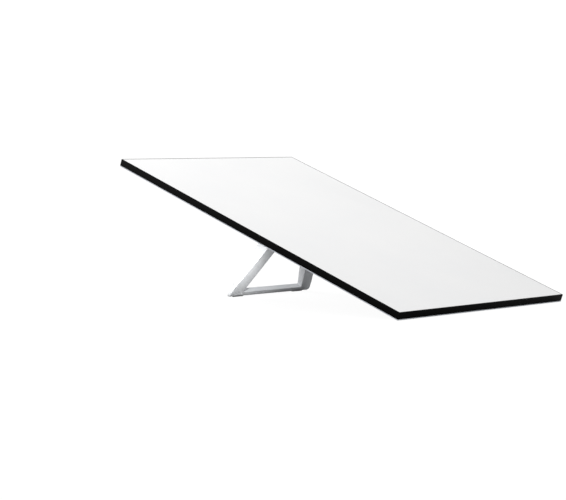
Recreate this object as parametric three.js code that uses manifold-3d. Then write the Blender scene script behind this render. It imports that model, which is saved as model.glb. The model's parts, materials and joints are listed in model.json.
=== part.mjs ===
// Portable drawing board: a thin laminated panel that leans on a fold-out stand.
// The stand hinges on a round turntable set flush in the panel's back.
//
// Millimetres, +Z up. The panel's lower edge and the stand's foot both rest on Z = 0.
// +Y runs from the lower edge to the upper edge, +X to the right of a person drawing.
// The origin is the middle of the bounding box at table level.
//
// Panel pieces are drawn in the panel's own axes: x across, y up the slope from the
// lower edge, z out of the drawing surface from the back face.
// Stand pieces are drawn in the stand's own axes: x along the hinge pin, y through the
// stand from front to back, z up the stand, with the pin's axis at y = z = 0.

import * as THREE from 'three';
import { mergeVertices } from 'three/addons/utils/BufferGeometryUtils.js';
import Module from 'manifold-3d';

const wasm = await Module();
wasm.setup();

// ---------------------------------------------------------------- driving dimensions

const PANEL_WIDTH = 400;
const PANEL_LENGTH = 600;
const PANEL_THICKNESS = 12;
const PANEL_TILT = THREE.MathUtils.degToRad(20.2);

const GAP = 0.3; // clearance or glue line between neighbouring pieces
const FINE_GAP = 0.15; // running clearance of a round piece in its bore
const PAST = 1; // how far a cutter runs past the face it opens

const BACK_SHEET_THICKNESS = 1.2;
const SURFACE_THICKNESS = 0.8;
const BAND_THICKNESS = 1.5;

const DISC_RADIUS = 105.7;
const DISC_RIM_RADIUS = 110; // the hidden rim that the back sheet holds in
const DISC_THICKNESS = 3.2;
const RING_INNER_RADIUS = 88;
const RING_OUTER_RADIUS = 106;
const RING_THICKNESS = 1;
const INDEX_ORBIT = 99;
const INDEX_RADIUS = 2;
const INDEX_FLOOR = 1; // disc left above the index plug

const PIVOT_RADIUS = 3;
const PIVOT_HEAD_RADIUS = 6.5;
const PIVOT_HEAD_HEIGHT = 1.8;
const PIVOT_HEAD_CORNER = 0.6;
const PIVOT_SOCKET_RADIUS = 2.3;
const PIVOT_WASHER_RADIUS = 8.6;
const PIVOT_WASHER_THICKNESS = 1;
const INSERT_RADIUS = 5.2;
const INSERT_FLANGE_RADIUS = 9;
const INSERT_FLANGE_THICKNESS = 1;

const HINGE_OFFSET = 72.4; // hinge pin up the slope from the turntable's centre
const HINGE_DROP = 9; // hinge pin below the panel's back face
const PIN_RADIUS = 3;
const BARREL_HALF_WIDTH = 38;
const BARREL_RADIUS = 7.5;
const BUSH_WALL = 1;
const BUSH_LENGTH = 14;
const WASHER_THICKNESS = 1;
const WASHER_RADIUS = 6.5;
const EAR_THICKNESS = 3;
const EAR_RADIUS = 7;
const CLIP_THICKNESS = 1;
const CLIP_RADIUS = 4.8;
const CLIP_MOUTH = 3.6;
const CLIP_GROOVE_DEPTH = 0.6;
const PIN_END = 1.5; // pin left outside each clip
const BRACKET_BASE_THICKNESS = 2;
const BRACKET_BASE_WIDTH = 15;
const BRACKET_BASE_BELOW = 5; // reach of the base down the slope from the pin
const BRACKET_BASE_ABOVE = 13; // reach of the base up the slope from the pin
const SCREW_RADIUS = 2;
const SCREW_HEAD_RADIUS = 3.4;
const SCREW_HEAD_HEIGHT = 1.6;
const SCREW_HEAD_TAPER = 0.6; // the head's flat top and straight side, as parts of its size
const SCREW_SOCKET_RADIUS = 1.2;
const SOCKET_DEPTH = 1;
const STOP_PAD_THICKNESS = 1;
const STOP_PAD_HALF_WIDTH = 36;
const STOP_PAD_START = 0.5;
const STOP_PAD_REACH = 8;
const STOP_HEEL_REACH = 5.5;

const STAND_LEAN = THREE.MathUtils.degToRad(34); // from vertical, top towards the lower edge
const FOOT_HALF_WIDTH = 97.5;
const LEG_OUTER_SLOPE = 0.381; // narrowing of each outer edge per mm up the stand
const WINDOW_HALF_WIDTH = 72.5; // at table level
const WINDOW_SLOPE = 0.35;
const FOOT_BAR_HEIGHT = 9;
const WINDOW_TOP_HEIGHT = 112;
const WINDOW_BOTTOM_CORNER = 1.5;
const WINDOW_TOP_CORNER = 7;
const FOOT_FRONT_FALL = 3.2; // the foot bar's front slopes back, from its top to the table
const LEG_FRONT_FALL = 1.8; // each leg's front slopes back, across the foot to its outer edge
const LEG_CREASE_TOP = 40; // that slope starts this far out, at the shoulder
const FOOT_CORNER_REACH = 11; // rounding of the foot's corners, seen from the front
const FOOT_CORNER_TAPER = 0.4; // how far that rounding moves inwards per mm to the back
const FOOT_CORNER_RISE = 34; // where it has run out of the leg's back edge, going up
const TOE_REACH = 1.5; // rounding of the foot's front edge, seen from the side
const HEEL_REACH = 2.5; // rounding of the foot's back edge, seen from the side
const SHOULDER_DROP = 13; // shoulder below the pin, clear of the bracket's ears
const SHOULDER_CORNER = 5;
const NECK_CORNER = 1.5;
const STAND_DEPTH_AT_FOOT = 8;
const STAND_DEPTH_GROWTH = 0.136; // wedge: depth gained per mm up the stand
const STAND_THICKEST_HEIGHT = 96;
const CROWN_REACH = 16; // how far the back's slope runs on into the curve above it
const CROWN_RISE = 20; // how far that curve's shoulder is above the thickest height
const FOOT_PAD_THICKNESS = 1.2;
const FOOT_PAD_START = 60; // each pad runs under one leg, out from here
const FOOT_PAD_END = 80;

const ROUND_SEGMENTS = 96;
const SMALL_SEGMENTS = 40;

// ------------------------------------------------------------------ derived places

const coreBottom = BACK_SHEET_THICKNESS + GAP;
const coreTop = PANEL_THICKNESS - SURFACE_THICKNESS - GAP;
const coreHalfWidth = PANEL_WIDTH / 2 - BAND_THICKNESS - GAP;
const coreStart = BAND_THICKNESS + GAP;
const coreEnd = PANEL_LENGTH - coreStart;
const discCentre = PANEL_LENGTH / 2;
const ringBottom = DISC_THICKNESS + GAP;
const pocketCeiling = ringBottom + RING_THICKNESS + GAP;
const insertTop = coreTop - 2 * GAP;
const insertBore = PIVOT_RADIUS + FINE_GAP;
const counterboreDepth = PIVOT_WASHER_THICKNESS + GAP;
const indexTop = DISC_THICKNESS - INDEX_FLOOR - GAP;

const washerStart = BARREL_HALF_WIDTH + GAP;
const earStart = washerStart + WASHER_THICKNESS + GAP;
const earEnd = earStart + EAR_THICKNESS;
const pinBore = PIN_RADIUS + FINE_GAP;
const bushRadius = pinBore + BUSH_WALL;
const bushStart = BARREL_HALF_WIDTH - BUSH_LENGTH;
const screwPlaces = [0, 8]; // up the slope from the pin
const screwAcross = earEnd + BRACKET_BASE_WIDTH / 2;

const standOpening = STAND_LEAN - PANEL_TILT;
const hingeUpSlope = discCentre + HINGE_OFFSET;
const hingeHeight =
  hingeUpSlope * Math.sin(PANEL_TILT) - HINGE_DROP * Math.cos(PANEL_TILT);
const standFront = -BARREL_RADIUS;
const footHeight = standHeightAt(standFront, 0); // stand-axis z of the foot's front edge
const soleLevel = FOOT_PAD_THICKNESS + FINE_GAP; // the metal sole above the table

// The stand-axis z of a point that lies `level` above the table at depth `y`.
function standHeightAt(y, level) {
  return -(hingeHeight + y * Math.sin(STAND_LEAN) - level) / Math.cos(STAND_LEAN);
}

// Half the window's width at a height up the stand from the foot.
function windowHalfAt(height) {
  return WINDOW_HALF_WIDTH - WINDOW_SLOPE * height;
}

// ---------------------------------------------------------------------- materials

const finishes = {
  laminate: { color: 0xf2f3f1, roughness: 0.55, metalness: 0 },
  core: { color: 0xc7b299, roughness: 0.9, metalness: 0 },
  blackBand: { color: 0x0b0b0c, roughness: 0.45, metalness: 0 },
  backSheet: { color: 0xd2d7e0, roughness: 0.5, metalness: 0.1 },
  disc: { color: 0xced4de, roughness: 0.45, metalness: 0.1 },
  darkSteel: { color: 0x55585c, roughness: 0.4, metalness: 1 },
  steel: { color: 0xb4b6b8, roughness: 0.3, metalness: 1 },
  brass: { color: 0xb08d4c, roughness: 0.35, metalness: 1 },
  nylon: { color: 0xe6e4dc, roughness: 0.6, metalness: 0 },
  aluminium: { color: 0xc9cbcd, roughness: 0.35, metalness: 1 },
  rubber: { color: 0x3b3c3e, roughness: 0.85, metalness: 0 },
};

// ------------------------------------------------------------------ solid geometry

function toSolid(geometry) {
  const bare = geometry.clone();
  bare.deleteAttribute('normal');
  bare.deleteAttribute('uv');
  const merged = mergeVertices(bare, 1e-4);
  return new wasm.Manifold(
    new wasm.Mesh({
      numProp: 3,
      vertProperties: new Float32Array(merged.attributes.position.array),
      triVerts: new Uint32Array(merged.index.array),
    })
  );
}

function toGeometry(solid) {
  const mesh = solid.getMesh();
  const geometry = new THREE.BufferGeometry();
  geometry.setAttribute('position', new THREE.BufferAttribute(mesh.vertProperties, 3));
  geometry.setIndex(new THREE.BufferAttribute(mesh.triVerts, 1));
  geometry.computeVertexNormals();
  return geometry;
}

function join(...pieces) {
  const solids = pieces.map(toSolid);
  return toGeometry(solids.reduce((whole, piece) => whole.add(piece)));
}

function cut(body, ...cutters) {
  const solids = cutters.map(toSolid);
  return toGeometry(solids.reduce((whole, cutter) => whole.subtract(cutter), toSolid(body)));
}

function common(first, second) {
  return toGeometry(toSolid(first).intersect(toSolid(second)));
}

function block(x0, x1, y0, y1, z0, z1) {
  const geometry = new THREE.BoxGeometry(x1 - x0, y1 - y0, z1 - z0);
  return geometry.translate((x0 + x1) / 2, (y0 + y1) / 2, (z0 + z1) / 2);
}

// A body of revolution about z, from points [radius, z].
function turned(profile, segments) {
  const points = profile.map(([radius, z]) => new THREE.Vector2(radius, z));
  return new THREE.LatheGeometry(points, segments).rotateX(Math.PI / 2);
}

function solidRound(radius, z0, z1, segments = ROUND_SEGMENTS) {
  return turned([[0, z0], [radius, z0], [radius, z1], [0, z1]], segments);
}

function ring(inner, outer, z0, z1, segments = ROUND_SEGMENTS) {
  return turned([[inner, z0], [outer, z0], [outer, z1], [inner, z1], [inner, z0]], segments);
}

// Turns a body of revolution about z to one about x.
function alongX(geometry) {
  return geometry.rotateY(Math.PI / 2);
}

function roundAlongX(radius, x0, x1) {
  return alongX(solidRound(radius, x0, x1, SMALL_SEGMENTS));
}

function ringAlongX(inner, outer, x0, x1) {
  return alongX(ring(inner, outer, x0, x1, SMALL_SEGMENTS));
}

// An outline in the y-z plane, drawn out along x.
function prismAlongX(shape, x0, x1) {
  const geometry = new THREE.ExtrudeGeometry(shape, {
    depth: x1 - x0,
    bevelEnabled: false,
    curveSegments: SMALL_SEGMENTS / 4,
  });
  const yzx = new THREE.Matrix4().makeBasis(
    new THREE.Vector3(0, 1, 0),
    new THREE.Vector3(0, 0, 1),
    new THREE.Vector3(1, 0, 0)
  );
  return geometry.applyMatrix4(yzx).translate(x0, 0, 0);
}

// An outline in the x-z plane, drawn out along y.
function prismAlongY(shape, y0, y1) {
  const geometry = new THREE.ExtrudeGeometry(shape, {
    depth: y1 - y0,
    bevelEnabled: false,
    curveSegments: SMALL_SEGMENTS / 4,
  });
  return geometry.rotateX(Math.PI / 2).translate(0, y1, 0);
}

// A closed outline through corners [a, b, radius], each rounded to its radius.
function roundedShape(corners) {
  const shape = new THREE.Shape();
  const points = corners.map(([a, b]) => new THREE.Vector2(a, b));
  corners.forEach(([, , radius], index) => {
    const here = points[index];
    const before = points.at(index - 1).clone().sub(here).normalize();
    const after = points[(index + 1) % points.length].clone().sub(here).normalize();
    if (!radius) {
      if (index === 0) shape.moveTo(here.x, here.y);
      else shape.lineTo(here.x, here.y);
      return;
    }
    const reach = radius / Math.tan(before.angleTo(after) / 2);
    const start = here.clone().addScaledVector(before, reach);
    const end = here.clone().addScaledVector(after, reach);
    if (index === 0) shape.moveTo(start.x, start.y);
    else shape.lineTo(start.x, start.y);
    shape.quadraticCurveTo(here.x, here.y, end.x, end.y);
  });
  shape.closePath();
  return shape;
}

// ------------------------------------------------------------------------ assembly

function piece(group, name, geometry, finish) {
  const mesh = new THREE.Mesh(geometry, new THREE.MeshStandardMaterial(finish));
  mesh.name = name;
  group.add(mesh);
  return mesh;
}

const sides = [
  { name: 'left', sign: -1 },
  { name: 'right', sign: 1 },
];

// The stretch from `near` to `far` out from the middle, on the left (-1) or right (+1) side.
function stretch(sign, near, far) {
  return sign > 0 ? [near, far] : [-far, -near];
}

function addPanelLayers(panel) {
  const surface = block(
    -coreHalfWidth, coreHalfWidth, coreStart, coreEnd,
    PANEL_THICKNESS - SURFACE_THICKNESS, PANEL_THICKNESS
  );
  const slab = block(-coreHalfWidth, coreHalfWidth, coreStart, coreEnd, coreBottom, coreTop);
  const pocket = solidRound(DISC_RIM_RADIUS + GAP, 0, pocketCeiling);
  const insertHole = solidRound(INSERT_RADIUS + GAP, 0, insertTop + GAP, SMALL_SEGMENTS);
  pocket.translate(0, discCentre, 0);
  insertHole.translate(0, discCentre, 0);

  const sheet = block(
    -PANEL_WIDTH / 2, PANEL_WIDTH / 2, 0, PANEL_LENGTH, 0, BACK_SHEET_THICKNESS
  );
  const opening = solidRound(DISC_RADIUS + 2 * GAP, -PAST, BACK_SHEET_THICKNESS + PAST);
  opening.translate(0, discCentre, 0);

  piece(panel, 'drawing_surface', surface, finishes.laminate);
  piece(panel, 'core_panel', cut(slab, pocket, insertHole), finishes.core);
  piece(panel, 'back_sheet', cut(sheet, opening), finishes.backSheet);
}

function addEdgeBands(panel) {
  const outer = PANEL_WIDTH / 2;
  const inner = outer - BAND_THICKNESS;
  for (const { name, sign } of sides) {
    const across = stretch(sign, inner, outer);
    const band = block(...across, 0, PANEL_LENGTH, coreBottom, PANEL_THICKNESS);
    piece(panel, `edge_band_${name}`, band, finishes.blackBand);
  }
  const end = inner - GAP;
  const lower = block(-end, end, 0, BAND_THICKNESS, coreBottom, PANEL_THICKNESS);
  const upper = lower.clone().translate(0, PANEL_LENGTH - BAND_THICKNESS, 0);
  piece(panel, 'edge_band_lower', lower, finishes.blackBand);
  piece(panel, 'edge_band_upper', upper, finishes.blackBand);
}

function discBlank() {
  return turned(
    [
      [0, 0],
      [DISC_RADIUS, 0],
      [DISC_RADIUS, coreBottom],
      [DISC_RIM_RADIUS - GAP, coreBottom],
      [DISC_RIM_RADIUS - GAP, DISC_THICKNESS],
      [0, DISC_THICKNESS],
    ],
    ROUND_SEGMENTS
  );
}

function addTurntable(turntable) {
  const holes = [
    solidRound(PIVOT_RADIUS + GAP, -PAST, DISC_THICKNESS + PAST, SMALL_SEGMENTS),
    solidRound(PIVOT_WASHER_RADIUS + GAP, -PAST, counterboreDepth, SMALL_SEGMENTS),
    solidRound(INDEX_RADIUS + FINE_GAP, -PAST, indexTop + GAP, SMALL_SEGMENTS)
      .translate(INDEX_ORBIT, 0, 0),
  ];
  for (const { sign } of sides) {
    for (const along of screwPlaces) {
      const hole = solidRound(
        SCREW_RADIUS + FINE_GAP, -PAST, DISC_THICKNESS + PAST, SMALL_SEGMENTS
      );
      holes.push(hole.translate(sign * screwAcross, HINGE_OFFSET + along, 0));
    }
  }
  piece(turntable, 'turntable_disc', cut(discBlank(), ...holes), finishes.disc);

  const index = solidRound(INDEX_RADIUS, 0, indexTop, SMALL_SEGMENTS);
  index.translate(INDEX_ORBIT, 0, 0);
  piece(turntable, 'index_plug', index, finishes.darkSteel);
}

function addPivot(panel, turntable) {
  const slide = ring(
    RING_INNER_RADIUS, RING_OUTER_RADIUS, ringBottom, ringBottom + RING_THICKNESS
  );
  const insert = turned(
    [
      [insertBore, ringBottom],
      [INSERT_FLANGE_RADIUS, ringBottom],
      [INSERT_FLANGE_RADIUS, ringBottom + INSERT_FLANGE_THICKNESS],
      [INSERT_RADIUS, ringBottom + INSERT_FLANGE_THICKNESS],
      [INSERT_RADIUS, insertTop],
      [insertBore, insertTop],
      [insertBore, ringBottom],
    ],
    SMALL_SEGMENTS
  );
  piece(panel, 'slide_ring', slide.translate(0, discCentre, 0), finishes.nylon);
  piece(panel, 'pivot_insert', insert.translate(0, discCentre, 0), finishes.brass);

  const washer = ring(
    PIVOT_RADIUS + FINE_GAP, PIVOT_WASHER_RADIUS, FINE_GAP,
    FINE_GAP + PIVOT_WASHER_THICKNESS, SMALL_SEGMENTS
  );
  piece(turntable, 'pivot_washer', washer, finishes.nylon);

  const headTop = -FINE_GAP;
  const headBottom = headTop - PIVOT_HEAD_HEIGHT;
  const bolt = turned(
    [
      [0, headBottom],
      [PIVOT_HEAD_RADIUS - PIVOT_HEAD_CORNER, headBottom],
      [PIVOT_HEAD_RADIUS, headBottom + PIVOT_HEAD_CORNER],
      [PIVOT_HEAD_RADIUS, headTop],
      [PIVOT_RADIUS, headTop],
      [PIVOT_RADIUS, insertTop - GAP],
      [0, insertTop - GAP],
    ],
    SMALL_SEGMENTS
  );
  const socketed = cut(bolt, hexSocket(PIVOT_SOCKET_RADIUS, headBottom));
  piece(panel, 'pivot_bolt', socketed.translate(0, discCentre, 0), finishes.darkSteel);
}

// The cutter for a six-sided key socket sunk up into a head whose face is at z.
function hexSocket(radius, z) {
  const socket = new THREE.CylinderGeometry(radius, radius, 2 * SOCKET_DEPTH, 6);
  return socket.rotateX(Math.PI / 2).translate(0, 0, z);
}

// One hinge bracket: an ear for the pin, on a base plate screwed up into the disc. The pin's
// axis crosses the turntable's y-z plane at y = 0 here.
function bracketGeometry(sign) {
  const outline = new THREE.Shape();
  outline.moveTo(-EAR_RADIUS, -GAP);
  outline.lineTo(-EAR_RADIUS, -HINGE_DROP);
  outline.absarc(0, -HINGE_DROP, EAR_RADIUS, Math.PI, 2 * Math.PI, false);
  outline.lineTo(EAR_RADIUS, -GAP);
  outline.closePath();
  const ear = prismAlongX(outline, ...stretch(sign, earStart, earEnd));
  const base = block(
    ...stretch(sign, earStart, earEnd + BRACKET_BASE_WIDTH),
    -BRACKET_BASE_BELOW, BRACKET_BASE_ABOVE,
    -GAP - BRACKET_BASE_THICKNESS, -GAP
  );
  const pinHole = roundAlongX(pinBore, ...stretch(sign, earStart - PAST, earEnd + PAST));
  pinHole.translate(0, 0, -HINGE_DROP);
  const screwHoles = screwPlaces.map((along) =>
    solidRound(SCREW_RADIUS + FINE_GAP, -HINGE_DROP, PAST, SMALL_SEGMENTS)
      .translate(sign * screwAcross, along, 0)
  );
  return cut(join(ear, base), pinHole, ...screwHoles);
}

function screwGeometry() {
  const headTop = -GAP - BRACKET_BASE_THICKNESS - FINE_GAP;
  const headBottom = headTop - SCREW_HEAD_HEIGHT;
  const screw = turned(
    [
      [0, headBottom],
      [SCREW_HEAD_RADIUS * SCREW_HEAD_TAPER, headBottom],
      [SCREW_HEAD_RADIUS, headBottom + SCREW_HEAD_HEIGHT * SCREW_HEAD_TAPER],
      [SCREW_HEAD_RADIUS, headTop],
      [SCREW_RADIUS, headTop],
      [SCREW_RADIUS, DISC_THICKNESS - GAP],
      [0, DISC_THICKNESS - GAP],
    ],
    SMALL_SEGMENTS
  );
  return cut(screw, hexSocket(SCREW_SOCKET_RADIUS, headBottom));
}

function addHingeMount(turntable) {
  for (const { name, sign } of sides) {
    const bracket = bracketGeometry(sign).translate(0, HINGE_OFFSET, 0);
    piece(turntable, `hinge_bracket_${name}`, bracket, finishes.steel);
    screwPlaces.forEach((along, index) => {
      const screw = screwGeometry().translate(sign * screwAcross, HINGE_OFFSET + along, 0);
      piece(turntable, `bracket_screw_${name}_${index + 1}`, screw, finishes.darkSteel);
    });
  }

  const stopPad = block(
    -STOP_PAD_HALF_WIDTH, STOP_PAD_HALF_WIDTH, STOP_PAD_START, STOP_PAD_REACH,
    -FINE_GAP - STOP_PAD_THICKNESS, -FINE_GAP
  );
  piece(turntable, 'stop_pad', stopPad.translate(0, HINGE_OFFSET, 0), finishes.rubber);
}

function addHingePin(turntable) {
  const grooveStart = earEnd + GAP;
  const grooveEnd = grooveStart + CLIP_THICKNESS + 2 * FINE_GAP;
  const grooveRadius = PIN_RADIUS - CLIP_GROOVE_DEPTH;
  const pinEnd = grooveEnd + PIN_END;
  const pin = turned(
    [
      [0, -pinEnd],
      [PIN_RADIUS, -pinEnd],
      [PIN_RADIUS, -grooveEnd],
      [grooveRadius, -grooveEnd],
      [grooveRadius, -grooveStart],
      [PIN_RADIUS, -grooveStart],
      [PIN_RADIUS, grooveStart],
      [grooveRadius, grooveStart],
      [grooveRadius, grooveEnd],
      [PIN_RADIUS, grooveEnd],
      [PIN_RADIUS, pinEnd],
      [0, pinEnd],
    ],
    SMALL_SEGMENTS
  );
  const pinMesh = piece(turntable, 'hinge_pin', alongX(pin), finishes.steel);
  pinMesh.position.set(0, HINGE_OFFSET, -HINGE_DROP);

  for (const { name, sign } of sides) {
    const across = stretch(sign, grooveStart + FINE_GAP, grooveEnd - FINE_GAP);
    const whole = ringAlongX(grooveRadius + FINE_GAP, CLIP_RADIUS, ...across);
    const mouth = block(
      across[0] - PAST, across[1] + PAST,
      -CLIP_MOUTH / 2, CLIP_MOUTH / 2, -CLIP_RADIUS - PAST, 0
    );
    const clipMesh = piece(turntable, `pin_clip_${name}`, cut(whole, mouth), finishes.darkSteel);
    clipMesh.position.copy(pinMesh.position);
  }
}

// The stand seen from the front: two legs, a foot bar and a top bar round a window, with a
// neck that carries the hinge barrel.
function standFrontOutline() {
  const halfWidthAt = (z) => FOOT_HALF_WIDTH - LEG_OUTER_SLOPE * (z - footHeight);
  const bottom = standHeightAt(0, 0) - STAND_DEPTH_AT_FOOT;
  const shoulder = -SHOULDER_DROP;
  const top = 2 * BARREL_RADIUS;
  const halfOutline = [
    [halfWidthAt(footHeight), footHeight, 0],
    [halfWidthAt(shoulder), shoulder, SHOULDER_CORNER],
    [BARREL_HALF_WIDTH, shoulder, NECK_CORNER],
    [BARREL_HALF_WIDTH, top, 0],
  ];
  const mirrored = halfOutline.map(([x, z, radius]) => [-x, z, radius]).reverse();
  const shape = roundedShape([
    [halfWidthAt(footHeight), bottom, 0],
    ...halfOutline,
    ...mirrored,
    [-halfWidthAt(footHeight), bottom, 0],
  ]);
  const low = FOOT_BAR_HEIGHT;
  const high = WINDOW_TOP_HEIGHT;
  shape.holes.push(
    roundedShape([
      [-windowHalfAt(low), footHeight + low, WINDOW_BOTTOM_CORNER],
      [-windowHalfAt(high), footHeight + high, WINDOW_TOP_CORNER],
      [windowHalfAt(high), footHeight + high, WINDOW_TOP_CORNER],
      [windowHalfAt(low), footHeight + low, WINDOW_BOTTOM_CORNER],
    ])
  );
  return shape;
}

// The stand and its pads seen from the side: a wedge, thin at the foot, whose front slopes
// back below the window, whose sole is level with the table, and whose top runs round the
// pin to a flat heel that meets the stop pad.
function standSideOutline() {
  const thickest = footHeight + STAND_THICKEST_HEIGHT;
  const backAt = (height) => standFront + STAND_DEPTH_AT_FOOT + STAND_DEPTH_GROWTH * height;
  const brow = new THREE.Vector2(standFront, footHeight + FOOT_BAR_HEIGHT);
  const toeFront = standFront + FOOT_FRONT_FALL;
  const toe = new THREE.Vector2(toeFront, standHeightAt(toeFront, 0));
  const toeStart = toe.clone().addScaledVector(brow.clone().sub(toe).normalize(), TOE_REACH);
  const soleStart = toeFront + TOE_REACH * Math.cos(STAND_LEAN);
  const footBack = backAt(0);
  const backCorner = standHeightAt(footBack, 0);
  const soleEnd = footBack - HEEL_REACH * Math.cos(STAND_LEAN);
  const heel = new THREE.Vector2(BARREL_RADIUS, 0).rotateAround(
    new THREE.Vector2(0, 0), Math.PI / 2 - standOpening
  );
  const upSlope = new THREE.Vector2(1, 0).rotateAround(new THREE.Vector2(0, 0), -standOpening);
  const heelEnd = heel.clone().addScaledVector(upSlope, STOP_HEEL_REACH);
  const heelBase = heelEnd.clone().addScaledVector(heel, -1);

  const shape = new THREE.Shape();
  shape.moveTo(standFront, 0);
  shape.lineTo(brow.x, brow.y);
  shape.lineTo(toeStart.x, toeStart.y);
  shape.quadraticCurveTo(toe.x, toe.y, soleStart, standHeightAt(soleStart, 0));
  shape.lineTo(soleEnd, standHeightAt(soleEnd, 0));
  shape.quadraticCurveTo(
    footBack, backCorner, footBack + STAND_DEPTH_GROWTH * HEEL_REACH, backCorner + HEEL_REACH
  );
  shape.lineTo(backAt(STAND_THICKEST_HEIGHT), thickest);
  shape.quadraticCurveTo(
    backAt(STAND_THICKEST_HEIGHT + CROWN_REACH), thickest + CROWN_RISE, heelBase.x, heelBase.y
  );
  shape.lineTo(heelEnd.x, heelEnd.y);
  shape.lineTo(heel.x, heel.y);
  shape.absarc(0, 0, BARREL_RADIUS, Math.PI / 2 - standOpening, Math.PI, false);
  return shape;
}

// The cutter that rounds one bottom corner of the foot, seen from the front. It runs level
// with the table, inwards from front to back, and flares out above the corner so that it
// leaves the leg's side smoothly.
function footCornerCutter(sign) {
  const top = FOOT_CORNER_REACH;
  const level = Math.tan(STAND_LEAN);
  const edgeAt = (height) => sign * (FOOT_HALF_WIDTH - LEG_OUTER_SLOPE * height);
  const flatEnd = edgeAt(0) - sign * FOOT_CORNER_REACH;
  const outside = edgeAt(0) + sign * 2 * FOOT_CORNER_REACH;
  const depth = STAND_DEPTH_AT_FOOT + STAND_DEPTH_GROWTH * FOOT_CORNER_RISE + PAST;
  const flare = sign * (FOOT_CORNER_TAPER + LEG_OUTER_SLOPE * level) * depth;
  const shape = new THREE.Shape();
  shape.moveTo(flatEnd, -top);
  shape.lineTo(flatEnd, 0);
  shape.quadraticCurveTo(edgeAt(0), 0, edgeAt(top), top);
  shape.quadraticCurveTo(
    edgeAt(2 * top), 2 * top, edgeAt(FOOT_CORNER_RISE) + flare, FOOT_CORNER_RISE
  );
  shape.lineTo(outside, FOOT_CORNER_RISE);
  shape.lineTo(outside, -top);
  shape.closePath();
  const taper = -sign * FOOT_CORNER_TAPER;
  const shear = new THREE.Matrix4().set(
    1, taper, 0, -taper * standFront,
    0, 1, 0, 0,
    0, -level, 1, level * standFront + footHeight,
    0, 0, 0, 1
  );
  return prismAlongY(shape, standFront - PAST, standFront + 3 * STAND_DEPTH_AT_FOOT)
    .applyMatrix4(shear);
}

// A slab under the stand, level with the table, between two heights above it.
function levelSlab(low, high, x0, x1) {
  const near = standFront - PAST;
  const far = standFront + 3 * STAND_DEPTH_AT_FOOT;
  const side = roundedShape([
    [near, standHeightAt(near, low), 0],
    [far, standHeightAt(far, low), 0],
    [far, standHeightAt(far, high), 0],
    [near, standHeightAt(near, high), 0],
  ]);
  return prismAlongX(side, x0, x1);
}

// The cutter that slopes one leg's front back, from a crease that runs up from the window's
// bottom corner to the shoulder, out to the leg's outer edge.
function legFrontCutter(sign) {
  const slope = LEG_FRONT_FALL / (FOOT_HALF_WIDTH - WINDOW_HALF_WIDTH);
  const bottom = footHeight - STAND_DEPTH_AT_FOOT;
  const top = -SHOULDER_DROP + PAST;
  const lean = (WINDOW_HALF_WIDTH - LEG_CREASE_TOP) / (-SHOULDER_DROP - footHeight);
  const creaseAt = (z) => WINDOW_HALF_WIDTH - lean * (z - footHeight);
  const outside = FOOT_HALF_WIDTH + PAST;
  const zone = roundedShape([
    [sign * (creaseAt(bottom) - PAST), bottom, 0],
    [sign * outside, bottom, 0],
    [sign * outside, top, 0],
    [sign * (creaseAt(top) - PAST), top, 0],
  ]);
  const shear = new THREE.Matrix4().set(
    1, 0, 0, 0,
    slope * sign, 1, slope * lean, -slope * creaseAt(0),
    0, 0, 1, 0,
    0, 0, 0, 1
  );
  return prismAlongY(zone, standFront - 3 * LEG_FRONT_FALL, standFront).applyMatrix4(shear);
}

function addStandFrame(stand) {
  const deep = 4 * STAND_DEPTH_AT_FOOT;
  const front = prismAlongY(standFrontOutline(), standFront - PAST, standFront + deep);
  const side = prismAlongX(standSideOutline(), -2 * FOOT_HALF_WIDTH, 2 * FOOT_HALF_WIDTH);
  const bore = roundAlongX(PIN_RADIUS + 2 * GAP, -2 * BARREL_HALF_WIDTH, 2 * BARREL_HALF_WIDTH);
  const bushSeats = sides.map(({ sign }) =>
    roundAlongX(
      bushRadius + FINE_GAP, ...stretch(sign, bushStart - GAP, BARREL_HALF_WIDTH + PAST)
    )
  );
  const belowSole = levelSlab(-PAST, soleLevel, -FOOT_HALF_WIDTH - PAST, FOOT_HALF_WIDTH + PAST);
  const slopes = sides.map(({ sign }) => legFrontCutter(sign));
  const corners = sides.map(({ sign }) => footCornerCutter(sign));
  const frame = cut(
    common(front, side), bore, ...bushSeats, belowSole, ...slopes, ...corners
  );
  piece(stand, 'stand_frame', frame, finishes.aluminium);
}

// The rubber pads under the legs, which carry the foot's rounding on to the table.
function addFootPads(stand) {
  for (const { name, sign } of sides) {
    const across = stretch(sign, FOOT_PAD_START, FOOT_PAD_END);
    const pad = common(
      prismAlongX(standSideOutline(), ...across),
      levelSlab(-PAST, FOOT_PAD_THICKNESS, across[0] - PAST, across[1] + PAST)
    );
    piece(stand, `foot_pad_${name}`, pad, finishes.rubber);
  }
}

function addStandBearings(stand) {
  for (const { name, sign } of sides) {
    const bushSpan = stretch(sign, bushStart, BARREL_HALF_WIDTH);
    const washerSpan = stretch(sign, washerStart, washerStart + WASHER_THICKNESS);
    const bush = ringAlongX(pinBore, bushRadius, ...bushSpan);
    const washer = ringAlongX(pinBore, WASHER_RADIUS, ...washerSpan);
    piece(stand, `hinge_bush_${name}`, bush, finishes.nylon);
    piece(stand, `friction_washer_${name}`, washer, finishes.steel);
  }
}

function drawingBoard() {
  const board = new THREE.Group();
  const panel = new THREE.Group();
  const turntable = new THREE.Group();
  const stand = new THREE.Group();

  const depth = PANEL_LENGTH * Math.cos(PANEL_TILT);
  const overhang = PANEL_THICKNESS * Math.sin(PANEL_TILT);
  panel.position.y = -(depth - overhang) / 2;
  panel.rotation.x = PANEL_TILT;
  turntable.position.y = discCentre;
  stand.position.set(0, HINGE_OFFSET, -HINGE_DROP);
  stand.rotation.x = standOpening;
  turntable.add(stand);
  panel.add(turntable);
  board.add(panel);

  addPanelLayers(panel);
  addEdgeBands(panel);
  addPivot(panel, turntable);
  addTurntable(turntable);
  addHingeMount(turntable);
  addHingePin(turntable);
  addStandFrame(stand);
  addFootPads(stand);
  addStandBearings(stand);
  return board;
}

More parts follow.
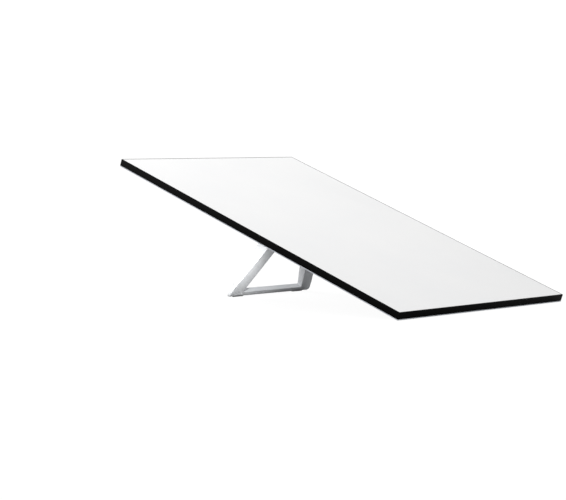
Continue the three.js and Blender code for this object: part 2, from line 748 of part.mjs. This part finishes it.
export default drawingBoard();
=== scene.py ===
"""Looks of the portable drawing board: finish, fine edges, light and camera round the CAD frame."""

import json
import math

import bmesh
import bpy
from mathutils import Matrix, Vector


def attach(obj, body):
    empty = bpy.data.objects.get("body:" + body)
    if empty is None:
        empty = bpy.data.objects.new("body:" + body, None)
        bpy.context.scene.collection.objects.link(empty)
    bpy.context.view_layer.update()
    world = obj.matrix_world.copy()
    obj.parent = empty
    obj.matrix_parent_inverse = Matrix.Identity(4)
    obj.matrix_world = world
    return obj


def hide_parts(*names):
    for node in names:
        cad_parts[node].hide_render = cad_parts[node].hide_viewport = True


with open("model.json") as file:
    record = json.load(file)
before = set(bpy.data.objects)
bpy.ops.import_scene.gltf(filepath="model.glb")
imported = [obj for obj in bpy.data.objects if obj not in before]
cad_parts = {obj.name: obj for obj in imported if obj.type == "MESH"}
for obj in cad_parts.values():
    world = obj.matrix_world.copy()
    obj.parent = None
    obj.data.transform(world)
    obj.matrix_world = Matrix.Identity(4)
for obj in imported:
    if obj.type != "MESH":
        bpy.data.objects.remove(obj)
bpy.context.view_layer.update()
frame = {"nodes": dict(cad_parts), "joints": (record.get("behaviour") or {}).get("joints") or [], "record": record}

MM = 0.001
JOINTS = {joint["name"]: joint for joint in frame["joints"]}
PANEL_NORMAL = Vector(JOINTS["turntable_swivel"]["axis"]).normalized()
TURNTABLE_CENTRE = Vector(JOINTS["turntable_swivel"]["pos_m"])
HINGE_PIN = Vector(JOINTS["stand_fold"]["pos_m"])
PANEL_TILT = math.atan2(-PANEL_NORMAL.y, PANEL_NORMAL.z)
NODE_SLOT = {part["node"]: part["material_slot"] for part in frame["record"]["subparts"]}
NODE_BODY = {
    node: body
    for body, nodes in frame["record"]["behaviour"]["bodies"].items()
    for node in nodes
}


# ------------------------------------------------------------------ shader helpers

NOISE_LOW = 0.3
NOISE_HIGH = 0.7
BEVEL_SAMPLES = 8


class Shader:
    """A Principled material under construction, with short calls for its nodes."""

    def __init__(self, name, **sockets):
        self.material = bpy.data.materials.new(name)
        self.material.use_nodes = True
        self.tree = self.material.node_tree
        self.surface = self.tree.nodes["Principled BSDF"]
        for socket, value in sockets.items():
            self.surface.inputs[socket.replace("_", " ")].default_value = value

    def node(self, kind, inputs=None, **properties):
        node = self.tree.nodes.new(kind)
        for name, value in properties.items():
            setattr(node, name, value)
        for socket, value in (inputs or {}).items():
            self.feed(node.inputs[socket], value)
        return node

    def feed(self, socket, value):
        if isinstance(value, bpy.types.NodeSocket):
            self.tree.links.new(value, socket)
        else:
            socket.default_value = value

    def math(self, operation, first, second=0.0):
        return self.node("ShaderNodeMath", {0: first, 1: second}, operation=operation).outputs[0]

    def coordinates(self, origin, tilt=0.0, scale=(1, 1, 1)):
        """Places on the surface in metres, from origin, turned back by tilt about x."""
        place = self.node("ShaderNodeTexCoord").outputs["Object"]
        shifted = self.node(
            "ShaderNodeVectorMath", {0: place, 1: tuple(origin)}, operation="SUBTRACT"
        ).outputs[0]
        return self.node(
            "ShaderNodeMapping",
            {"Vector": shifted, "Rotation": (-tilt, 0, 0), "Scale": scale},
        ).outputs[0]

    def noise(self, vector, scale, detail=3.0, roughness=0.5):
        """Noise with scale cells to the metre, mostly between NOISE_LOW and NOISE_HIGH."""
        return self.node(
            "ShaderNodeTexNoise",
            {"Vector": vector, "Scale": scale, "Detail": detail, "Roughness": roughness},
        ).outputs["Fac"]

    def remap(self, value, low, high, to_low, to_high):
        return self.node(
            "ShaderNodeMapRange",
            {0: value, 1: low, 2: high, 3: to_low, 4: to_high},
        ).outputs[0]

    def blend(self, value, first, second, low=NOISE_LOW, high=NOISE_HIGH, most=1.0):
        """The first colour where value is low, with up to most of the second where it is high."""
        node = self.node(
            "ShaderNodeMix", {0: self.remap(value, low, high, 0, most)}, data_type="RGBA"
        )
        self.feed(node.inputs[6], (*first, 1) if isinstance(first, tuple) else first)
        self.feed(node.inputs[7], (*second, 1) if isinstance(second, tuple) else second)
        return node.outputs[2]

    def color(self, value):
        self.feed(self.surface.inputs["Base Color"], value)

    def roughness(self, value, smoothest, roughest, low=NOISE_LOW, high=NOISE_HIGH):
        """Roughness that goes from smoothest to roughest as value goes from low to high."""
        rough = self.remap(value, low, high, smoothest, roughest)
        self.feed(self.surface.inputs["Roughness"], rough)

    def soft_edges(self, radius):
        """Shades edges as if they were rounded to that radius. Comes before any bump."""
        bevel = self.node("ShaderNodeBevel", {"Radius": radius}, samples=BEVEL_SAMPLES)
        self.feed(self.surface.inputs["Normal"], bevel.outputs["Normal"])

    def bump(self, height, distance, strength):
        """Relief of that height over any soft edges already there."""
        below = self.surface.inputs["Normal"].links
        node = self.node(
            "ShaderNodeBump", {"Height": height, "Distance": distance, "Strength": strength}
        )
        if below:
            self.tree.links.new(below[0].from_socket, node.inputs["Normal"])
        self.tree.links.new(node.outputs["Normal"], self.surface.inputs["Normal"])


# ----------------------------------------------------------------------- materials


def laminate_material():
    """Off-white melamine: a faint pearl in the resin over a fine pebbled press finish."""
    cool_white = (0.865, 0.868, 0.872)
    warm_white = (0.885, 0.885, 0.883)
    fibre_white = (0.80, 0.80, 0.80)
    shader = Shader("laminate", Specular_IOR_Level=0.35)
    place = shader.coordinates(TURNTABLE_CENTRE, PANEL_TILT)
    cloud = shader.noise(place, 9, detail=4)
    fibre = shader.noise(place, 900, detail=2)
    resin = shader.blend(cloud, cool_white, warm_white)
    shader.color(shader.blend(fibre, resin, fibre_white, low=0.35, high=0.75, most=0.05))
    shader.roughness(shader.noise(place, 60, detail=5), 0.46, 0.56)
    shader.bump(shader.noise(place, 2200, detail=2), 0.02 * MM, 0.35)
    return shader.material


def edging_material():
    """Black ABS edging: a fine grain, duller where hands rub it."""
    black = (0.0008, 0.0008, 0.0009)
    rubbed_black = (0.0022, 0.0022, 0.0024)
    shader = Shader("black_edging", Specular_IOR_Level=0.06)
    place = shader.coordinates(TURNTABLE_CENTRE, PANEL_TILT)
    rub = shader.noise(place, 28, detail=6, roughness=0.6)
    shader.color(shader.blend(rub, black, rubbed_black, low=0.45, high=0.8))
    shader.roughness(rub, 0.36, 0.52, high=0.8)
    shader.bump(shader.noise(place, 1800, detail=3), 0.03 * MM, 0.4)
    return shader.material


def back_sheet_material():
    """Blue-grey satin aluminium sheet with a fine grain rolled along its length."""
    dark_blue_grey = (0.60, 0.632, 0.69)
    blue_grey = (0.64, 0.668, 0.72)
    bright_grain = (0.74, 0.76, 0.80)
    stretched = (1, 0.02, 1)
    shader = Shader("back_sheet", Metallic=0.15, Specular_IOR_Level=0.5)
    along = shader.coordinates(TURNTABLE_CENTRE, PANEL_TILT, scale=stretched)
    place = shader.coordinates(TURNTABLE_CENTRE, PANEL_TILT)
    grain = shader.noise(along, 1500, detail=3)
    cloud = shader.noise(place, 7, detail=3)
    tint = shader.blend(cloud, dark_blue_grey, blue_grey)
    shader.color(shader.blend(grain, tint, bright_grain, most=0.14))
    shader.roughness(grain, 0.42, 0.56)
    shader.bump(grain, 0.01 * MM, 0.4)
    return shader.material


def turntable_material():
    """The same finish as the back sheet, turned: its grain runs in rings round the pivot."""
    dark_blue_grey = (0.57, 0.60, 0.66)
    blue_grey = (0.61, 0.64, 0.70)
    bright_grain = (0.74, 0.76, 0.80)
    shader = Shader("turntable", Metallic=0.25, Specular_IOR_Level=0.5)
    place = shader.coordinates(TURNTABLE_CENTRE, PANEL_TILT)
    parts = shader.node("ShaderNodeSeparateXYZ", {0: place}).outputs
    across = shader.math("MULTIPLY", parts[0], parts[0])
    along = shader.math("MULTIPLY", parts[1], parts[1])
    radius = shader.math("SQRT", shader.math("ADD", across, along))
    rings = shader.node(
        "ShaderNodeTexNoise",
        {"W": radius, "Scale": 2600, "Detail": 3.0},
        noise_dimensions="1D",
    )
    grain = rings.outputs["Fac"]
    tint = shader.blend(shader.noise(place, 9), dark_blue_grey, blue_grey)
    shader.color(shader.blend(grain, tint, bright_grain, most=0.2))
    shader.roughness(grain, 0.34, 0.5)
    shader.bump(grain, 0.01 * MM, 0.5)
    return shader.material


def stand_material():
    """Bead-blasted silver aluminium casting."""
    dull_silver = (0.70, 0.715, 0.73)
    silver = (0.76, 0.77, 0.78)
    bright_speck = (0.9, 0.9, 0.91)
    shader = Shader("stand_aluminium", Metallic=0.35, Specular_IOR_Level=0.5)
    place = shader.coordinates(HINGE_PIN)
    blast = shader.noise(place, 2400, detail=2)
    cloud = shader.noise(place, 24, detail=4)
    tint = shader.blend(cloud, dull_silver, silver)
    shader.color(shader.blend(blast, tint, bright_speck, low=0.4, high=0.8, most=0.2))
    shader.roughness(cloud, 0.42, 0.52)
    shader.soft_edges(0.7 * MM)
    shader.bump(blast, 0.03 * MM, 0.35)
    return shader.material


def metal_material(name, tint, worn, smoothest, roughest, origin):
    """A turned or plated small metal part, with a fine grain and slightly uneven polish."""
    shader = Shader(name, Metallic=1.0)
    place = shader.coordinates(origin)
    streak = shader.noise(place, 700, detail=4)
    cloud = shader.noise(place, 160, detail=3)
    shader.color(shader.blend(cloud, tint, worn, low=0.35))
    shader.roughness(streak, smoothest, roughest)
    shader.bump(streak, 0.01 * MM, 0.4)
    return shader.material


def nylon_material():
    """Natural nylon, slightly translucent and waxy."""
    cream = (0.78, 0.77, 0.72)
    pale_cream = (0.84, 0.83, 0.79)
    shader = Shader(
        "nylon", Specular_IOR_Level=0.45, Subsurface_Weight=0.2, Subsurface_Scale=1 * MM
    )
    place = shader.coordinates(HINGE_PIN)
    cloud = shader.noise(place, 220, detail=3)
    shader.color(shader.blend(cloud, cream, pale_cream))
    shader.roughness(cloud, 0.4, 0.55)
    shader.bump(shader.noise(place, 1800), 0.02 * MM, 0.3)
    return shader.material


def rubber_material():
    """Dark grey rubber: matt, finely pitted, dusty on its high spots."""
    clean_rubber = (0.05, 0.051, 0.054)
    dusty_rubber = (0.10, 0.10, 0.102)
    shader = Shader("rubber", Specular_IOR_Level=0.3)
    place = shader.coordinates(HINGE_PIN)
    dust = shader.noise(place, 90, detail=5, roughness=0.6)
    pits = shader.noise(place, 2600, detail=2)
    shader.color(shader.blend(dust, clean_rubber, dusty_rubber, low=0.45, high=0.8))
    shader.roughness(dust, 0.74, 0.9, high=0.8)
    shader.bump(pits, 0.05 * MM, 0.5)
    return shader.material


def core_material():
    """Raw wood-fibre board: short pale fibres in a brown mat."""
    dark_mat = (0.36, 0.25, 0.15)
    brown_mat = (0.45, 0.33, 0.21)
    pale_fibre = (0.62, 0.50, 0.35)
    pressed_flat = (1, 1, 4)
    shader = Shader("core", Specular_IOR_Level=0.2)
    place = shader.coordinates(TURNTABLE_CENTRE, PANEL_TILT, scale=pressed_flat)
    fibre = shader.noise(place, 700, detail=6, roughness=0.7)
    mat = shader.noise(place, 45, detail=3)
    tint = shader.blend(mat, dark_mat, brown_mat)
    shader.color(shader.blend(fibre, tint, pale_fibre, low=0.45, high=0.75, most=0.7))
    shader.roughness(fibre, 0.85, 0.95)
    shader.bump(fibre, 0.1 * MM, 0.6)
    return shader.material


MATERIALS = {
    "laminate": laminate_material(),
    "core": core_material(),
    "black_band": edging_material(),
    "back_sheet": back_sheet_material(),
    "turntable": turntable_material(),
    "dark_steel": metal_material(
        "dark_steel", (0.045, 0.046, 0.05), (0.085, 0.086, 0.09), 0.32, 0.48, HINGE_PIN
    ),
    "steel": metal_material(
        "steel", (0.52, 0.53, 0.54), (0.62, 0.62, 0.63), 0.24, 0.38, HINGE_PIN
    ),
    "brass": metal_material(
        "brass", (0.58, 0.42, 0.18), (0.68, 0.52, 0.26), 0.25, 0.4, TURNTABLE_CENTRE
    ),
    "nylon": nylon_material(),
    "stand_aluminium": stand_material(),
    "rubber": rubber_material(),
}


# ------------------------------------------------------------------------- meshes

SAME_CORNER = 0.002 * MM
SAME_PLANE = math.radians(0.4)
SHARP_ANGLE = math.radians(40)
SMOOTH_ANGLE = math.radians(35)
EDGE_SEGMENTS = 3

STAND_EDGE_WIDTH = 2.8 * MM
STAND_EDGE_SEGMENTS = 4
NEAR_PIN = 12 * MM
PIN_SHARE = 0.12
FOOT_EDGE_LOWEST = 6 * MM
FOOT_EDGE_HIGHEST = 9 * MM
FOOT_EDGE_SHARE = 1.0
OTHER_SHARE = 0.5
ALONG_X = 0.9

# How wide the rounded edges are, by how a node's name starts. Apart from the stand, the nodes
# that are not here are hidden inside the panel, and keep their CAD shape.
EDGE_WIDTHS = {
    "drawing_surface": 0.15 * MM,
    "back_sheet": 0.2 * MM,
    "edge_band": 0.35 * MM,
    "turntable_disc": 0.2 * MM,
    "index_plug": 0.2 * MM,
    "pivot_bolt": 0.25 * MM,
    "pivot_washer": 0.2 * MM,
    "hinge_bracket": 0.3 * MM,
    "hinge_pin": 0.2 * MM,
    "hinge_bush": 0.15 * MM,
    "bracket_screw": 0.15 * MM,
    "pin_clip": 0.15 * MM,
    "stop_pad": 0.2 * MM,
    "friction_washer": 0.12 * MM,
    "foot_pad": 0.3 * MM,
}


def solid_copy(node):
    """The CAD solid as a bmesh of whole flat faces, with its triangles merged."""
    mesh = bmesh.new()
    mesh.from_mesh(frame["nodes"][node].data)
    bmesh.ops.remove_doubles(mesh, verts=mesh.verts, dist=SAME_CORNER)
    bmesh.ops.dissolve_limit(
        mesh, angle_limit=SAME_PLANE, verts=mesh.verts, edges=mesh.edges
    )
    return mesh


def turns_sharply(edge):
    return len(edge.link_faces) == 2 and edge.calc_face_angle(0) > SHARP_ANGLE


def stand_share(edge):
    """The foot bar's upper front edge is rounded most, and the edges at the hinge least."""
    corners = [vert.co for vert in edge.verts]
    from_pin = min((Vector((0, *corner.yz)) - HINGE_PIN).length for corner in corners)
    if from_pin < NEAR_PIN:
        return PIN_SHARE
    direction = (corners[1] - corners[0]).normalized()
    heights = [corner.z for corner in corners]
    at_foot = min(heights) > FOOT_EDGE_LOWEST and max(heights) < FOOT_EDGE_HIGHEST
    if abs(direction.x) > ALONG_X and at_foot:
        return FOOT_EDGE_SHARE
    return OTHER_SHARE


def rounded(mesh, width, segments, share):
    """
    A Blender mesh of the solid with its sharp edges rounded to width.
    share(edge) says what part of the width an edge takes: all of it, where no share is given.
    The clamp holds the width back so that no rounding overlaps another. On the turntable disc,
    the pin clips and the stand it leaves only a hair: the stand's material softens its edges too.
    """
    weight = mesh.edges.layers.float.new("bevel_weight_edge")
    for edge in mesh.edges:
        if turns_sharply(edge):
            edge[weight] = share(edge) if share else 1.0
    plain = bpy.data.meshes.new("plain")
    mesh.to_mesh(plain)
    mesh.free()
    holder = bpy.data.objects.new("holder", plain)
    bpy.context.scene.collection.objects.link(holder)
    bevel = holder.modifiers.new("rounding", "BEVEL")
    bevel.limit_method = "WEIGHT"
    bevel.offset_type = "OFFSET"
    bevel.width = width
    bevel.segments = segments
    bevel.use_clamp_overlap = True
    bpy.context.view_layer.update()
    evaluated = holder.evaluated_get(bpy.context.evaluated_depsgraph_get())
    result = bpy.data.meshes.new_from_object(evaluated)
    bpy.data.objects.remove(holder)
    bpy.data.meshes.remove(plain)
    return result


def dress(data, node):
    """Gives a mesh the material of the node's slot."""
    data.materials.clear()
    data.materials.append(MATERIALS[NODE_SLOT[node]])


def refine(node, width, segments=EDGE_SEGMENTS, share=None):
    """Puts a mesh with rounded edges in place of a CAD node, on the node's body."""
    name = f"{node}_finish"
    data = rounded(solid_copy(node), width, segments, share)
    data.name = name
    data.shade_smooth()
    data.set_sharp_from_angle(angle=SMOOTH_ANGLE)
    dress(data, node)
    piece = bpy.data.objects.new(name, data)
    bpy.context.scene.collection.objects.link(piece)
    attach(piece, NODE_BODY[node])
    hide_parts(node)


def finish_nodes():
    for node, thing in frame["nodes"].items():
        widths = [width for start, width in EDGE_WIDTHS.items() if node.startswith(start)]
        if node == "stand_frame":
            refine(node, STAND_EDGE_WIDTH, STAND_EDGE_SEGMENTS, stand_share)
        elif widths:
            refine(node, widths[0])
        else:
            dress(thing.data, node)


finish_nodes()


# ------------------------------------------------------------------ stage and light

# The camera that the photograph's perspective fits. Its lens and sensor are in millimetres.
VIEW_AZIMUTH = math.radians(-47.6)
VIEW_ELEVATION = math.radians(3.52)
VIEW_DISTANCE = 2.9
VIEW_TARGET = Vector((-0.0648, 0.0581, 0.0777))
LENS = 118.6
SENSOR = 36.0

FLOOR_RADIUS = 30.0
FLOOR_SIDES = 96
FLOOR_SHADE = 0.08
FLOOR_GLOW = 0.95
TABLE_DROP = 0.5 * MM
TABLE_SHADE = 0.38
FLOOR_ROUGHNESS = 0.9
BACKDROP_RADIUS = 32.0
BACKDROP_SEGMENTS = 64
BACKDROP_RINGS = 32
BACKDROP_SHADE = 0.8
BACKDROP_GLOW = 1.0
WHITE = (1, 1, 1, 1)

BRIGHT_SIDE = (-0.7, 0.3, 0.65)
WORLD_BRIGHT = 1.22
WORLD_DIM = 0.45
FULL_SPREAD = 180


def grey(shade):
    return (shade, shade, shade, 1)


def add_camera():
    data = bpy.data.cameras.new("camera")
    data.lens = LENS
    data.sensor_width = SENSOR
    camera = bpy.data.objects.new("camera", data)
    bpy.context.scene.collection.objects.link(camera)
    back = Vector((
        math.sin(VIEW_AZIMUTH) * math.cos(VIEW_ELEVATION),
        -math.cos(VIEW_AZIMUTH) * math.cos(VIEW_ELEVATION),
        math.sin(VIEW_ELEVATION),
    ))
    camera.location = VIEW_TARGET + back * VIEW_DISTANCE
    camera.rotation_mode = "QUATERNION"
    camera.rotation_quaternion = (-back).to_track_quat("-Z", "Y")
    bpy.context.scene.camera = camera


def stage_thing(name, shader):
    """Names the object that was just added and gives it that material."""
    thing = bpy.context.object
    thing.name = name
    thing.data.materials.append(shader.material)
    return thing


def seen_by_camera_only(thing):
    thing.visible_diffuse = False
    thing.visible_glossy = False
    thing.visible_shadow = False


def add_backdrop():
    """A white dome round the floor, far behind the object."""
    white = Shader(
        "backdrop",
        Base_Color=grey(BACKDROP_SHADE),
        Specular_IOR_Level=0.0,
        Emission_Color=WHITE,
        Emission_Strength=BACKDROP_GLOW,
    )
    bpy.ops.mesh.primitive_uv_sphere_add(
        segments=BACKDROP_SEGMENTS, ring_count=BACKDROP_RINGS, radius=BACKDROP_RADIUS
    )
    seen_by_camera_only(stage_thing("backdrop", white))


def add_disc(height):
    bpy.ops.mesh.primitive_circle_add(
        vertices=FLOOR_SIDES, radius=FLOOR_RADIUS, fill_type="NGON", location=(0, 0, height)
    )


def add_floor():
    """A pale floor for the eye, and just under it a grey one that throws light on the object."""
    pale = Shader(
        "floor",
        Base_Color=grey(FLOOR_SHADE),
        Roughness=FLOOR_ROUGHNESS,
        Specular_IOR_Level=0.0,
        Emission_Color=WHITE,
        Emission_Strength=FLOOR_GLOW,
    )
    add_disc(0.0)
    seen_by_camera_only(stage_thing("floor", pale))

    grey_top = Shader(
        "table",
        Base_Color=grey(TABLE_SHADE),
        Roughness=FLOOR_ROUGHNESS,
        Specular_IOR_Level=0.0,
    )
    add_disc(-TABLE_DROP)
    stage_thing("table", grey_top).visible_camera = False


def add_world():
    """
    Even studio air, brighter on the left than on the right: the dot product with the bright
    side runs from -1, right opposite, to 1.
    """
    world = bpy.data.worlds.new("studio")
    world.use_nodes = True
    bpy.context.scene.world = world
    tree = world.node_tree
    background = tree.nodes["Background"]
    direction = tree.nodes.new("ShaderNodeTexCoord").outputs["Generated"]
    side = tree.nodes.new("ShaderNodeVectorMath")
    side.operation = "DOT_PRODUCT"
    tree.links.new(direction, side.inputs[0])
    side.inputs[1].default_value = BRIGHT_SIDE
    ramp = tree.nodes.new("ShaderNodeMapRange")
    tree.links.new(side.outputs["Value"], ramp.inputs["Value"])
    ramp.inputs["From Min"].default_value = -1.0
    ramp.inputs["From Max"].default_value = 1.0
    ramp.inputs["To Min"].default_value = WORLD_DIM
    ramp.inputs["To Max"].default_value = WORLD_BRIGHT
    tree.links.new(ramp.outputs["Result"], background.inputs["Strength"])
    background.inputs["Color"].default_value = WHITE


def add_area_light(name, place, aim, size, power, spread=FULL_SPREAD):
    """A rectangular light at place, pointing at aim, in metres, watts and degrees."""
    data = bpy.data.lights.new(name, "AREA")
    data.shape = "RECTANGLE"
    data.size, data.size_y = size
    data.energy = power
    data.spread = math.radians(spread)
    light = bpy.data.objects.new(name, data)
    bpy.context.scene.collection.objects.link(light)
    light.location = place
    light.rotation_mode = "QUATERNION"
    light.rotation_quaternion = (Vector(aim) - Vector(place)).to_track_quat("-Z", "Y")
    light.visible_camera = False


def add_lights():
    """The key light from the far side, and a small one low at the left on the stand's left leg."""
    add_area_light(
        "far_softbox", place=(0.5, 2.3, 1.7), aim=(0.0, 0.0, 0.1), size=(1.0, 1.0), power=28
    )
    add_area_light(
        "low_left_softbox",
        place=(-0.26, -0.01, 0.09),
        aim=(-0.09, 0.12, 0.05),
        size=(0.04, 0.03),
        power=0.044,
        spread=32,
    )


add_camera()
add_backdrop()
add_floor()
add_world()
add_lights()
bpy.context.scene.view_settings.view_transform = "Standard"
